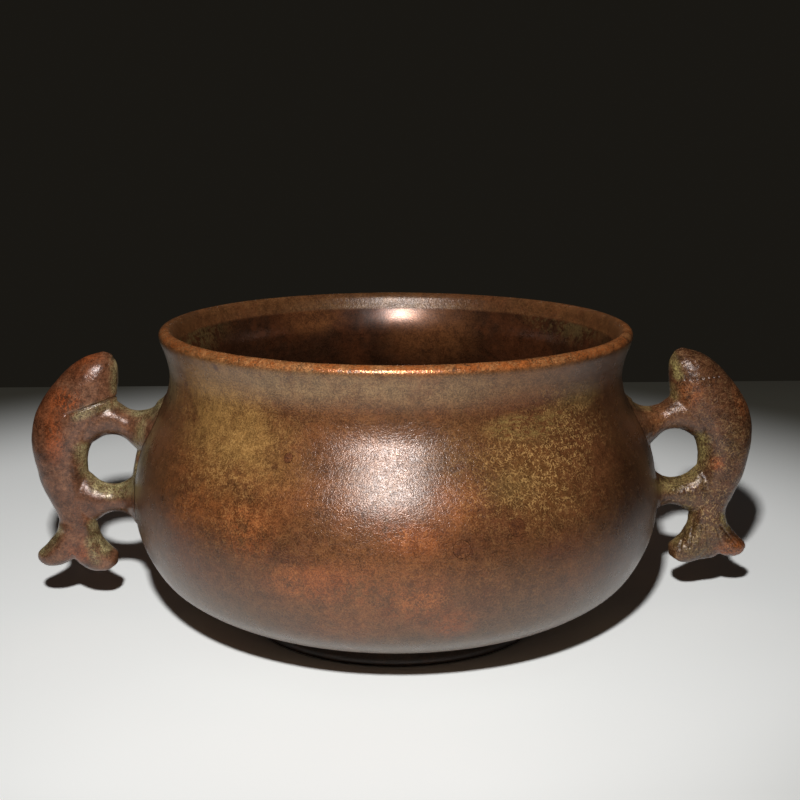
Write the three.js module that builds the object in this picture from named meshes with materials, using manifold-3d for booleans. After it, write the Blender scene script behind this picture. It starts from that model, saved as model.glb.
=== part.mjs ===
// Bronze incense burner: a squat round bowl on a low foot ring, with a fish-shaped handle on each side.
// Millimetres, +Z up, origin on the floor at the middle of the foot. The handles lie along X.
import * as THREE from "three";
import { mergeVertices } from "three/addons/utils/BufferGeometryUtils.js";
import Module from "manifold-3d";

const wasm = await Module();
wasm.setup();

// Driving dimensions of the bowl
const HEIGHT = 77;
const MOUTH_RADIUS = 60;
const WALL = 3.4;
const FOOT_HEIGHT = 5.5;

// Outer wall of the bowl from the foot to the neck, as radius and height
const OUTER_WALL = [
  [41.5, FOOT_HEIGHT],
  [49.4, 7.9],
  [56.6, 11.4],
  [61.3, 15.2],
  [64.7, 20.6],
  [67, 27],
  [67.6, 33.5],
  [66.9, 40],
  [64.9, 47],
  [61.5, 54],
  [58.6, 60],
  [57.6, 65.5],
  [59.1, 72],
];
const WALL_STEPS = 24;
const ROUND_SEGMENTS = 48;

// The rounded lip, from the inner wall over the crest to the outer wall
const LIP = [
  [56, HEIGHT - 2.4],
  [56.3, HEIGHT - 1.2],
  [56.9, HEIGHT - 0.4],
  [57.7, HEIGHT],
  [58.8, HEIGHT],
  [59.7, HEIGHT - 0.7],
  [MOUTH_RADIUS, HEIGHT - 1.8],
  [MOUTH_RADIUS, HEIGHT - 2.8],
  [59.5, HEIGHT - 3.9],
];

// Foot ring and inset base plate
const FLOOR_Z = FOOT_HEIGHT + WALL;
const FOOT_OUTER = 40;
const FOOT_INNER = 35.8;
const FOOT_WAIST = 38.6;
const TONGUE_OUTER = 38.4;
const TONGUE_INNER = 35.4;
const TONGUE_HEIGHT = 0.8;
const OPENING_RADIUS = 30;
const RABBET_RADIUS = 33.6;
const RABBET_HEIGHT = 1.6;
const FIT_GAP = 0.2;

// Rivets that hold the handles, and the plugs that close the core-pin holes
const RIVET_RADIUS = 2;
const RIVET_HEAD_RADIUS = 4.2;
const RIVET_HEAD_HEIGHT = 1.9;
const RIVET_DEPTH_IN_ARM = 5;
const BORE_GAP = 0.15;
const ROUND_PIN_SIDES = 16;
const TOUCH_GAP = 0.3;

// Heights where the two arms of a handle meet the wall
const UPPER_ARM_Z = 51.4;
const LOWER_ARM_Z = 31;

// Core-pin plugs on the front, as degrees round from the front towards +X, height and radius
const PLUGS = [
  { name: "core_plug_left", degrees: -25.1, z: 56, radius: 1 },
  { name: "core_plug_middle", degrees: 9.7, z: 38.6, radius: 1.9 },
  { name: "core_plug_right", degrees: 20.7, z: 42, radius: 1.9 },
];

// Fish body from snout to tail root: inner edge x, z, outer edge x, z, half thickness
const FISH_BODY = [
  [72.3, 69, 74.8, 70, 1.4],
  [71.2, 66.5, 79.1, 68.9, 3.9],
  [71.1, 63.1, 83.3, 66.3, 5.3],
  [71.5, 59.2, 87.5, 62.1, 5.9],
  [72, 55.4, 90.8, 57.7, 6.2],
  [73.9, 51.4, 93, 53.5, 6.3],
  [77.4, 47.7, 93.9, 48.9, 6.3],
  [79.5, 43.6, 94, 44.3, 6.2],
  [79.9, 39.5, 93.2, 39.5, 5.9],
  [79.5, 34.8, 92.1, 34.8, 5.5],
  [78.8, 30.2, 90.1, 30.5, 5.1],
  [78.3, 26.1, 88.3, 26, 4.8],
  [78.4, 23.3, 88.6, 23.1, 4.7],
  [79, 20, 88.9, 20, 4.5],
  [81.3, 16.5, 88.2, 16.5, 3.6],
];

// The two lobes of the tail, from the root to the tip, in the same five numbers
const OUTER_LOBE = [
  [80.3, 25.1, 88.4, 24.9, 4.6],
  [81, 21, 89.1, 22.4, 4.6],
  [82.3, 17.3, 90.4, 20.7, 4.5],
  [85, 14.5, 92.4, 18.4, 4.2],
  [88.1, 12.9, 94.1, 16.8, 3.5],
  [91.1, 12.6, 94.3, 15.1, 2.1],
];
const INNER_LOBE = [
  [78.4, 25.1, 86.4, 25.1, 4.6],
  [77.8, 22, 86.5, 21, 4.6],
  [76.6, 19.7, 86.1, 16.8, 4.5],
  [74.8, 17.7, 83.6, 13.1, 4.2],
  [73.2, 16.1, 80.3, 11.6, 3.6],
  [74, 13.9, 77.3, 11.7, 2.2],
];

// Arms from the bowl wall to the fish: x, lower edge z, upper edge z, half thickness
const UPPER_ARM = [
  [57.6, 42.6, 60.9, 13],
  [60.6, 43, 57.3, 12],
  [63.1, 43.3, 55.1, 9.5],
  [66.1, 43.7, 54.5, 6],
  [67.9, 45.2, 54.7, 4.8],
  [69.6, 47, 55.4, 4.3],
  [71.3, 47.9, 56.7, 4.4],
  [73.3, 48.2, 57.7, 4.6],
  [75.7, 47.7, 57.7, 4.9],
  [78.3, 46, 56.2, 5.1],
  [80.8, 45, 54.2, 5.1],
];
const LOWER_ARM = [
  [64.9, 22.9, 41, 14],
  [67.2, 24.6, 39.3, 10.5],
  [68.3, 25.6, 37.9, 7.4],
  [69.9, 26.7, 36.2, 5.2],
  [72.7, 27.5, 35, 4.4],
  [75.5, 27, 35.2, 4.5],
  [77.7, 25.5, 36.4, 4.6],
  [80, 25, 38.4, 4.7],
  [82.2, 25.2, 38.4, 4.7],
];

// The low web along the wall that joins the feet of both arms, in the same five numbers
const WEB = [
  [57.5, 57, 61.2, 57, 5.5],
  [60, 52, 63.7, 52, 5.2],
  [62, 47, 66, 47, 4.8],
  [63.5, 42, 67.5, 42, 4.6],
  [64.3, 37, 68.4, 37, 4.8],
  [64.6, 32, 68.6, 32, 5.2],
  [64, 27, 68, 27, 5.2],
  [63.5, 24, 66.6, 24, 4],
];
const BODY_SECTIONS = 28;
const LOBE_SECTIONS = 9;
const ARM_SECTIONS = 13;
const WEB_SECTIONS = 11;
const CAST_SIDES = 16;

const bronze = new THREE.MeshStandardMaterial({
  color: 0x5a3820,
  roughness: 0.42,
  metalness: 0.85,
});
const darkBronze = new THREE.MeshStandardMaterial({
  color: 0x4a3020,
  roughness: 0.5,
  metalness: 0.85,
});
const redCopper = new THREE.MeshStandardMaterial({
  color: 0x6a2e1c,
  roughness: 0.5,
  metalness: 0.85,
});

// A closed geometry as a solid. A shape whose faces point inwards is turned the right way out.
function toSolid(geometry) {
  const plain = geometry.index ? geometry.toNonIndexed() : geometry.clone();
  plain.deleteAttribute("normal");
  plain.deleteAttribute("uv");
  const merged = mergeVertices(plain, 1e-3);
  const corners = merged.index.array;
  const kept = [];
  for (let i = 0; i < corners.length; i += 3) {
    const [a, b, c] = [corners[i], corners[i + 1], corners[i + 2]];
    if (a !== b && b !== c && c !== a) kept.push(a, b, c);
  }
  const build = (triangles) =>
    new wasm.Manifold(
      new wasm.Mesh({
        numProp: 3,
        vertProperties: merged.attributes.position.array,
        triVerts: new Uint32Array(triangles),
      }),
    );
  const solid = build(kept);
  return solid.volume() < 0 ? build(kept.reverse()) : solid;
}

function toGeometry(solid) {
  const mesh = solid.getMesh();
  const geometry = new THREE.BufferGeometry();
  geometry.setAttribute("position", new THREE.BufferAttribute(mesh.vertProperties, 3));
  geometry.setIndex(new THREE.BufferAttribute(mesh.triVerts, 1));
  geometry.computeVertexNormals();
  return geometry;
}

// A profile of [radius, height] points turned round the Z axis.
function turned(profile, segments = ROUND_SEGMENTS) {
  const points = profile.map(([r, z]) => new THREE.Vector2(r, z));
  return toSolid(new THREE.LatheGeometry(points, segments).rotateX(Math.PI / 2));
}

// A round bar along +X, from one x to another, at a height.
function barAlongX(radius, fromX, toX, z, sides = ROUND_PIN_SIDES) {
  const bar = new THREE.CylinderGeometry(radius, radius, toX - fromX, sides);
  bar.rotateZ(Math.PI / 2).translate((fromX + toX) / 2, 0, z);
  return toSolid(bar);
}

// Points evenly spread along a smooth curve through rows of numbers of any length.
function smoothRows(rows, count) {
  const width = rows[0].length;
  const columns = [];
  for (let first = 0; first < width; first += 3) {
    const points = rows.map((row) => new THREE.Vector3(row[first], row[first + 1] ?? 0, row[first + 2] ?? 0));
    columns.push(new THREE.CatmullRomCurve3(points, false, "catmullrom", 0.5));
  }
  return Array.from({ length: count }, (_, i) =>
    columns.flatMap((curve) => curve.getPoint(i / (count - 1)).toArray()).slice(0, width),
  );
}

// Rings of points, each closed on itself, skinned into one solid with a fan at both ends.
function skinned(rings) {
  const sides = rings[0].length;
  const positions = rings.flat().flatMap((p) => p.toArray());
  const centres = [rings[0], rings.at(-1)].map((ring) =>
    ring.reduce((sum, p) => sum.add(p), new THREE.Vector3()).divideScalar(sides),
  );
  positions.push(...centres[0].toArray(), ...centres[1].toArray());
  const startCentre = rings.length * sides;
  const endCentre = startCentre + 1;
  const lastRing = (rings.length - 1) * sides;
  const index = [];
  for (let side = 0; side < sides; side++) {
    const next = (side + 1) % sides;
    index.push(startCentre, next, side);
    index.push(endCentre, lastRing + side, lastRing + next);
    for (let row = 0; row < rings.length - 1; row++) {
      const here = row * sides;
      const ahead = here + sides;
      index.push(here + side, here + next, ahead + next);
      index.push(here + side, ahead + next, ahead + side);
    }
  }
  const geometry = new THREE.BufferGeometry();
  geometry.setAttribute("position", new THREE.Float32BufferAttribute(positions, 3));
  geometry.setIndex(index);
  return toSolid(geometry);
}

// A closed oval ring round a middle, reaching `across` to one side and `thick` along Y.
function ovalRing(middle, across, thick) {
  return Array.from({ length: CAST_SIDES }, (_, i) => {
    const angle = (i / CAST_SIDES) * Math.PI * 2;
    const depth = new THREE.Vector3(0, thick * Math.sin(angle), 0);
    return middle.clone().addScaledVector(across, Math.cos(angle)).add(depth);
  });
}

// A solid skinned over oval sections, each given by its two edges and half its thickness.
function loft(stations, sections) {
  const rings = smoothRows(stations, sections).map(([ax, az, bx, bz, thick]) => {
    const inner = new THREE.Vector3(ax, 0, az);
    const outer = new THREE.Vector3(bx, 0, bz);
    const middle = inner.clone().add(outer).multiplyScalar(0.5);
    return ovalRing(middle, outer.sub(middle), thick);
  });
  return skinned(rings);
}

function arm(stations) {
  return loft(
    stations.map(([x, low, high, thick]) => [x, low, x, high, thick]),
    ARM_SECTIONS,
  );
}

function fishBody() {
  return loft(FISH_BODY, BODY_SECTIONS);
}

function fishTail() {
  return loft(OUTER_LOBE, LOBE_SECTIONS).add(loft(INNER_LOBE, LOBE_SECTIONS));
}

// Outer wall points from the foot up, and the inner wall the wall's thickness inside them.
function wallCurves() {
  const curve = new THREE.SplineCurve(OUTER_WALL.map(([r, z]) => new THREE.Vector2(r, z)));
  const outer = curve.getPoints(WALL_STEPS);
  const inner = outer.map((point, i) => {
    const along = curve.getTangent(i / WALL_STEPS);
    return new THREE.Vector2(point.x - along.y * WALL, point.y + along.x * WALL);
  });
  const rows = (points) => points.map((p) => [p.x, p.y]);
  return {
    outer: rows(outer),
    inner: rows(inner.filter((p) => p.y > FLOOR_Z + 0.4 && p.y < LIP[0][1] - 0.5)),
  };
}

const walls = wallCurves();
const floorEdge = walls.inner[0][0] - 5;

// The bowl's wall before any bore is cut in it.
function bowlBlank() {
  const start = [OPENING_RADIUS, FLOOR_Z];
  return turned([
    start,
    [floorEdge, FLOOR_Z],
    ...walls.inner,
    ...LIP,
    ...walls.outer.toReversed(),
    [TONGUE_OUTER + FIT_GAP, FOOT_HEIGHT],
    [TONGUE_OUTER + FIT_GAP, FOOT_HEIGHT + TONGUE_HEIGHT],
    [TONGUE_INNER - FIT_GAP, FOOT_HEIGHT + TONGUE_HEIGHT],
    [TONGUE_INNER - FIT_GAP, FOOT_HEIGHT],
    [RABBET_RADIUS, FOOT_HEIGHT],
    [RABBET_RADIUS, FOOT_HEIGHT + RABBET_HEIGHT],
    [OPENING_RADIUS, FOOT_HEIGHT + RABBET_HEIGHT],
    start,
  ]);
}

// Everything inside the outer wall, grown by a gap, to trim what stands against the bowl.
function bowlFilled(gap) {
  const side = [...walls.outer, [MOUTH_RADIUS, HEIGHT - 2.8], [MOUTH_RADIUS, HEIGHT]];
  return turned([[0, FOOT_HEIGHT], ...side.map(([r, z]) => [r + gap, z]), [0, HEIGHT]]);
}

// The space inside the bowl, drawn in by a gap, which rivet heads are trimmed to.
function bowlHollow(gap) {
  const side = [...walls.inner, ...LIP.slice(0, 4)];
  return turned([[0, FLOOR_Z], ...side.map(([r, z]) => [r - gap, z]), [0, HEIGHT]]);
}

// Where the bowl's outer wall stands at a height.
function outerRadiusAt(z) {
  const above = walls.outer.findIndex(([, height]) => height >= z);
  const [[r0, z0], [r1, z1]] = [walls.outer[above - 1], walls.outer[above]];
  return THREE.MathUtils.mapLinear(z, z0, z1, r0, r1);
}

function rivetBore(z) {
  const end = outerRadiusAt(z) + RIVET_DEPTH_IN_ARM + TOUCH_GAP;
  return barAlongX(RIVET_RADIUS + BORE_GAP, MOUTH_RADIUS / 2, end, z);
}

// A peened rivet: its domed head lies on the inside of the wall, its shank ends inside the arm.
function rivet(z, hollow) {
  const wallX = outerRadiusAt(z);
  const seatX = wallX - WALL - 1.2;
  const shank = barAlongX(RIVET_RADIUS, seatX, wallX + RIVET_DEPTH_IN_ARM, z);
  const dome = new THREE.SphereGeometry(1, ROUND_PIN_SIDES, 10);
  dome.scale(RIVET_HEAD_HEIGHT + 1.6, RIVET_HEAD_RADIUS, RIVET_HEAD_RADIUS);
  dome.translate(seatX + 1.6, 0, z);
  return toSolid(dome).intersect(hollow).add(shank);
}

function plugBar(radius, degrees, z) {
  const bar = barAlongX(radius, MOUTH_RADIUS / 2, MOUTH_RADIUS * 1.3, z);
  return bar.rotate([0, 0, degrees - 90]);
}

// A handle: fish, tail, arms and web in one casting, trimmed to the wall and bored for its rivets.
function handle(trim) {
  const arms = arm(UPPER_ARM).add(arm(LOWER_ARM)).add(loft(WEB, WEB_SECTIONS));
  const cast = fishBody().add(fishTail()).add(arms);
  return cast.subtract(trim).subtract(rivetBore(UPPER_ARM_Z)).subtract(rivetBore(LOWER_ARM_Z));
}

function footRing() {
  const start = [TONGUE_INNER, FOOT_HEIGHT + TONGUE_HEIGHT];
  return turned([
    start,
    [TONGUE_INNER, FOOT_HEIGHT - 0.6],
    [FOOT_INNER, 0.7],
    [FOOT_INNER + 0.5, 0],
    [FOOT_OUTER - 0.6, 0],
    [FOOT_OUTER, 0.8],
    [FOOT_OUTER - 0.2, 1.9],
    [FOOT_WAIST, 3.6],
    [TONGUE_OUTER, FOOT_HEIGHT],
    [TONGUE_OUTER, FOOT_HEIGHT + TONGUE_HEIGHT],
    start,
  ]);
}

function basePlate() {
  return turned([
    [0, FOOT_HEIGHT],
    [RABBET_RADIUS - FIT_GAP, FOOT_HEIGHT],
    [RABBET_RADIUS - FIT_GAP, FOOT_HEIGHT + RABBET_HEIGHT],
    [OPENING_RADIUS - FIT_GAP, FOOT_HEIGHT + RABBET_HEIGHT],
    [OPENING_RADIUS - FIT_GAP, FLOOR_Z],
    [0, FLOOR_Z],
  ]);
}

const burner = new THREE.Group();

function addPiece(name, solid, material, turn = 0) {
  const mesh = new THREE.Mesh(toGeometry(solid), material);
  mesh.name = name;
  mesh.rotation.z = turn;
  burner.add(mesh);
}

const blank = bowlBlank();
const sides = [
  { side: "right", turn: 0 },
  { side: "left", turn: Math.PI },
];
let bowl = blank;
for (const z of [UPPER_ARM_Z, LOWER_ARM_Z]) {
  bowl = bowl.subtract(rivetBore(z)).subtract(rivetBore(z).rotate([0, 0, 180]));
}
for (const { degrees, z, radius } of PLUGS) {
  bowl = bowl.subtract(plugBar(radius + BORE_GAP, degrees, z));
}
addPiece("bowl", bowl, bronze);
addPiece("foot_ring", footRing(), darkBronze);
addPiece("base_plate", basePlate(), darkBronze);

const handleSolid = handle(bowlFilled(TOUCH_GAP));
const hollow = bowlHollow(TOUCH_GAP);
for (const { side, turn } of sides) {
  addPiece(`fish_handle_${side}`, handleSolid, bronze, turn);
  addPiece(`upper_rivet_${side}`, rivet(UPPER_ARM_Z, hollow), redCopper, turn);
  addPiece(`lower_rivet_${side}`, rivet(LOWER_ARM_Z, hollow), redCopper, turn);
}
for (const { name, degrees, z, radius } of PLUGS) {
  addPiece(name, plugBar(radius, degrees, z).intersect(blank), redCopper);
}

export default burner;
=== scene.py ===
"""Bronze incense burner: its finished surfaces, the pale table it stands on, the lamps and the camera.

Lengths in the dataclasses are millimetres, as on a maker's drawing, and MM turns them into metres.
The burner stands on z = 0 with its axis on Z, its handles along X and its photographed side towards -Y.
"""

import logging
import math
from collections.abc import Sequence
from dataclasses import dataclass, field
from enum import Enum

import bpy
import numpy as np
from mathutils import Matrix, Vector


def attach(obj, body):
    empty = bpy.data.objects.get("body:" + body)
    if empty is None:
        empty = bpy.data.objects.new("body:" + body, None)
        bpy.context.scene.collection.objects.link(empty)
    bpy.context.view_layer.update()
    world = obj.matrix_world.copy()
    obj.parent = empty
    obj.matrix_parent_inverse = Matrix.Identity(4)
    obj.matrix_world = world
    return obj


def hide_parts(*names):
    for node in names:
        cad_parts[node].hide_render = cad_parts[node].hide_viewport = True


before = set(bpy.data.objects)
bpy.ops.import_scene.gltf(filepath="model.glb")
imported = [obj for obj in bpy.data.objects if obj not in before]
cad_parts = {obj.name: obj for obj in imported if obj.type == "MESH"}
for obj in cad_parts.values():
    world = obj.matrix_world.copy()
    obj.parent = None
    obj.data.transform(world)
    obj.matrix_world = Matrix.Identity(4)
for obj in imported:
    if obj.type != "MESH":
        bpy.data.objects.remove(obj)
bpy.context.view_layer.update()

MM = 0.001
log = logging.getLogger("burner")

Colour = tuple[float, float, float]
Place = tuple[float, float, float]
Rows = Sequence[tuple[float, ...]]


class Side(Enum):
    """The two ends of the burner, by the sign of X."""

    LEFT = -1
    RIGHT = 1


class Texture(Enum):
    """What breaks up a patina colour."""

    CLOUDS = "clouds"
    STROKES = "strokes"
    SPOTS = "spots"


def smooth_curve(rows: Rows, count: int) -> list[tuple[float, ...]]:
    """Draws a smooth curve through rows of numbers, with points closer where the rows are closer.

    Args:
        rows: The given points, each a tuple of the same length.
        count: How many points to return, with both ends.

    Returns:
        The points along the curve.
    """
    given = np.array(rows, dtype=float)
    gaps = np.sqrt(np.linalg.norm(np.diff(given, axis=0), axis=1))
    knots = np.concatenate([[0.0], np.cumsum(gaps)])
    slopes = np.gradient(given, knots, axis=0)
    at = np.linspace(0, knots[-1], count)
    i = np.clip(np.searchsorted(knots, at, side="right") - 1, 0, len(given) - 2)
    span = (knots[i + 1] - knots[i])[:, None]
    t = (at - knots[i])[:, None] / span
    points = (2 * t**3 - 3 * t**2 + 1) * given[i] + (t**3 - 2 * t**2 + t) * slopes[i] * span
    points += (3 * t**2 - 2 * t**3) * given[i + 1] + (t**3 - t**2) * slopes[i + 1] * span
    return [tuple(point) for point in points]


def smoothstep(values: np.ndarray, low: float, high: float) -> np.ndarray:
    """Rises smoothly from 0 at low to 1 at high."""
    t = np.clip((values - low) / (high - low), 0, 1)
    return t * t * (3 - 2 * t)


class Bench:
    """The modelling steps that every piece uses."""

    DOUBLED = 0.002 * MM
    SLIVER = 0.001 * MM
    ROUND_SIDES = 64
    WEIGHT_LEVELS = 64
    FULL_WEIGHT = 0.999

    @staticmethod
    def clear() -> None:
        """Goes back to object mode with nothing selected."""
        if bpy.context.mode != "OBJECT":
            bpy.ops.object.mode_set(mode="OBJECT")
        bpy.ops.object.select_all(action="DESELECT")

    @staticmethod
    def pick(piece: bpy.types.Object) -> None:
        """Selects one piece and makes it the active one."""
        Bench.clear()
        piece.select_set(True)
        bpy.context.view_layer.objects.active = piece

    @staticmethod
    def edit(piece: bpy.types.Object) -> None:
        """Opens a piece in edit mode with all of it selected."""
        Bench.pick(piece)
        bpy.ops.object.mode_set(mode="EDIT")
        bpy.ops.mesh.select_all(action="SELECT")

    @staticmethod
    def modify(piece: bpy.types.Object, kind: str, **settings: object) -> None:
        """Adds a modifier to a piece and applies it.

        Args:
            piece: The piece to change.
            kind: The modifier's type, such as "SUBSURF".
            **settings: The modifier's own settings.
        """
        Bench.pick(piece)
        bpy.ops.object.modifier_add(type=kind)
        modifier = piece.modifiers[-1]
        for name, value in settings.items():
            setattr(modifier, name, value)
        bpy.ops.object.modifier_apply(modifier=modifier.name)

    @staticmethod
    def carve(piece: bpy.types.Object, tool: bpy.types.Object, operation: str = "DIFFERENCE") -> None:
        """Cuts a piece with a tool, or keeps what they share, or fuses them, and scraps the tool."""
        Bench.modify(piece, "BOOLEAN", operation=operation, object=tool, solver="MANIFOLD")
        Bench.scrap(tool)

    @staticmethod
    def turn_profile(name: str, profile: Rows, steps: int) -> bpy.types.Object:
        """Draws a profile by extruding a single point, then spins it round the Z axis.

        Args:
            name: The new piece's name.
            profile: Radius and height of each point, in order. It ends on the axis or where it starts.
            steps: How many faces go round.

        Returns:
            The turned piece, closed and facing outwards.
        """
        Bench.clear()
        bpy.ops.mesh.primitive_plane_add(size=MM, location=(0, 0, 0))
        piece = bpy.context.object
        Bench.name(piece, name)
        Bench.edit(piece)
        bpy.ops.mesh.merge(type="CENTER")
        radius, height = profile[0]
        bpy.ops.transform.translate(value=(radius * MM, 0, height * MM))
        for (r0, z0), (r1, z1) in zip(profile, profile[1:]):
            step = ((r1 - r0) * MM, 0, (z1 - z0) * MM)
            bpy.ops.mesh.extrude_region_move(TRANSFORM_OT_translate={"value": step})
        bpy.ops.mesh.select_all(action="SELECT")
        bpy.ops.mesh.spin(steps=steps, angle=math.tau, center=(0, 0, 0), axis=(0, 0, 1))
        Bench.close(piece)
        return piece

    @staticmethod
    def close(piece: bpy.types.Object) -> None:
        """Merges a piece's doubled points and faces it outwards."""
        Bench.edit(piece)
        bpy.ops.mesh.remove_doubles(threshold=Bench.DOUBLED)
        bpy.ops.mesh.dissolve_degenerate(threshold=Bench.SLIVER)
        bpy.ops.mesh.select_all(action="SELECT")
        bpy.ops.mesh.normals_make_consistent(inside=False)
        Bench.clear()

    @staticmethod
    def mend(piece: bpy.types.Object) -> None:
        """Closes a cut piece, turns its faces into triangles and replaces any two that coincide."""
        Bench.close(piece)
        Bench.edit(piece)
        bpy.ops.mesh.quads_convert_to_tris(quad_method="BEAUTY", ngon_method="BEAUTY")
        bpy.ops.mesh.select_mode(type="EDGE")
        bpy.ops.mesh.select_all(action="DESELECT")
        bpy.ops.mesh.select_non_manifold(use_wire=False, use_boundary=False, use_verts=False)
        bpy.ops.mesh.delete(type="EDGE_FACE")
        bpy.ops.mesh.select_all(action="SELECT")
        bpy.ops.mesh.delete_loose()
        bpy.ops.mesh.select_all(action="SELECT")
        bpy.ops.mesh.fill_holes(sides=0)
        bpy.ops.mesh.select_mode(type="VERT")
        bpy.ops.mesh.select_all(action="SELECT")
        bpy.ops.mesh.normals_make_consistent(inside=False)
        Bench.clear()

    @staticmethod
    def soften(piece: bpy.types.Object, degrees: float = 40) -> None:
        """Smooths a piece's shading, but keeps edges sharper than an angle crisp."""
        Bench.pick(piece)
        bpy.ops.object.shade_smooth_by_angle(angle=math.radians(degrees))
        Bench.clear()

    @staticmethod
    def loft(name: str, stations: Rows, sides: int) -> bpy.types.Object:
        """Extrudes an oval ring through stations in the plane of the handle.

        Args:
            name: The new piece's name.
            stations: Rows of one edge's x and z, the other edge's x and z, and half the thickness.
            sides: How many points the ring has.

        Returns:
            The lofted piece, closed at both ends.
        """
        rings = []
        tilt = None
        for ax, az, bx, bz, thick in stations:
            across = math.hypot(bx - ax, bz - az) / 2
            angle = math.atan2(bz - az, bx - ax)
            if tilt is not None:
                angle = tilt + math.remainder(angle - tilt, math.tau)
            tilt = angle
            rings.append((Vector(((ax + bx) / 2, 0, (az + bz) / 2)) * MM, across, thick, angle))
        Bench.clear()
        bpy.ops.mesh.primitive_circle_add(vertices=sides, radius=MM, location=(0, 0, 0))
        piece = bpy.context.object
        Bench.name(piece, name)
        Bench.edit(piece)
        middle, across, thick, angle = rings[0]
        bpy.ops.transform.resize(value=(across, thick, 1), center_override=(0, 0, 0))
        bpy.ops.transform.rotate(value=angle, orient_axis="Y", center_override=(0, 0, 0))
        bpy.ops.transform.translate(value=middle)
        for (m0, a0, t0, g0), (m1, a1, t1, g1) in zip(rings, rings[1:]):
            bpy.ops.mesh.extrude_region_move(TRANSFORM_OT_translate={"value": m1 - m0})
            bpy.ops.transform.rotate(value=-g0, orient_axis="Y", center_override=m1)
            bpy.ops.transform.resize(value=(a1 / a0, t1 / t0, 1), center_override=m1)
            bpy.ops.transform.rotate(value=g1, orient_axis="Y", center_override=m1)
        bpy.ops.mesh.select_all(action="SELECT")
        bpy.ops.mesh.fill_holes(sides=0)
        Bench.close(piece)
        return piece

    @staticmethod
    def bar(name: str, radius: float, start: float, end: float, z: float) -> bpy.types.Object:
        """Makes a round bar along X between two places, at a height."""
        Bench.clear()
        length = (end - start) * MM
        bpy.ops.mesh.primitive_cylinder_add(vertices=Bench.ROUND_SIDES, radius=radius * MM, depth=length)
        piece = bpy.context.object
        Bench.name(piece, name)
        Bench.edit(piece)
        bpy.ops.transform.rotate(value=math.pi / 2, orient_axis="Y", center_override=(0, 0, 0))
        bpy.ops.transform.translate(value=((start + end) / 2 * MM, 0, z * MM))
        Bench.clear()
        return piece

    @staticmethod
    def swing(piece: bpy.types.Object, degrees: float) -> None:
        """Turns a piece's mesh round the burner's axis, anticlockwise from above."""
        Bench.edit(piece)
        bpy.ops.transform.rotate(value=-math.radians(degrees), orient_axis="Z", center_override=(0, 0, 0))
        Bench.clear()

    @staticmethod
    def join(pieces: list[bpy.types.Object], name: str) -> bpy.types.Object:
        """Joins pieces into the first of them and names the result."""
        Bench.pick(pieces[0])
        for piece in pieces:
            piece.select_set(True)
        bpy.ops.object.join()
        Bench.name(pieces[0], name)
        return pieces[0]

    @staticmethod
    def copy(piece: bpy.types.Object, name: str) -> bpy.types.Object:
        """Copies a piece with a mesh of its own."""
        Bench.pick(piece)
        bpy.ops.object.duplicate()
        made = bpy.context.object
        Bench.name(made, name)
        return made

    @staticmethod
    def name(piece: bpy.types.Object, name: str) -> None:
        """Names a piece and its mesh."""
        piece.name = name
        piece.data.name = name

    @staticmethod
    def scrap(piece: bpy.types.Object) -> None:
        """Deletes a tool or a blank that isn't shown."""
        Bench.pick(piece)
        bpy.ops.object.delete()

    @staticmethod
    def coat(piece: bpy.types.Object, finish: bpy.types.Material) -> None:
        """Gives the whole of a piece one finish."""
        piece.data.materials.clear()
        piece.data.materials.append(finish)
        Bench.edit(piece)
        piece.active_material_index = 0
        bpy.ops.object.material_slot_assign()
        Bench.clear()

    @staticmethod
    def weigh(piece: bpy.types.Object, name: str, weights: np.ndarray) -> None:
        """Writes a number between 0 and 1 at each point of a piece, as a vertex group."""
        group = piece.vertex_groups.new(name=name)
        steps = np.round(weights * Bench.WEIGHT_LEVELS)
        for level in range(1, Bench.WEIGHT_LEVELS + 1):
            chosen = np.flatnonzero(steps == level)
            if len(chosen):
                group.add(chosen.tolist(), level / Bench.WEIGHT_LEVELS, "REPLACE")

    @staticmethod
    def paint(piece: bpy.types.Object, name: str, values: np.ndarray) -> None:
        """Writes a number at each point of a piece, as an attribute that its finish reads."""
        layer = piece.data.attributes.new(name=name, type="FLOAT", domain="POINT")
        layer.data.foreach_set("value", values.astype(np.float32))

    @staticmethod
    def points(piece: bpy.types.Object) -> np.ndarray:
        """Gives a piece's points in millimetres, one row each."""
        flat = np.empty(len(piece.data.vertices) * 3, dtype=np.float32)
        piece.data.vertices.foreach_get("co", flat)
        return flat.reshape(-1, 3) / MM

    @staticmethod
    def hollowness(piece: bpy.types.Object, rounds: int) -> np.ndarray:
        """Measures how deep each point lies in a hollow: above 0 in a hollow, below 0 on a ridge.

        Args:
            piece: The piece to measure.
            rounds: How often the shape is evened out to compare with. More rounds find wider hollows.

        Returns:
            The depth at each point in millimetres.
        """
        count = len(piece.data.vertices)
        ends = np.empty(len(piece.data.edges) * 2, dtype=np.int32)
        piece.data.edges.foreach_get("vertices", ends)
        one, other = ends[0::2], ends[1::2]
        degree = np.bincount(ends, minlength=count)[:, None]
        normals = np.empty(count * 3, dtype=np.float32)
        piece.data.vertices.foreach_get("normal", normals)
        start = Bench.points(piece).astype(float)
        even = start.copy()
        for _ in range(rounds):
            total = [
                np.bincount(one, even[other, axis], count) + np.bincount(other, even[one, axis], count)
                for axis in range(3)
            ]
            even = np.stack(total, axis=1) / degree
        return ((even - start) * normals.reshape(-1, 3)).sum(axis=1)


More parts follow.
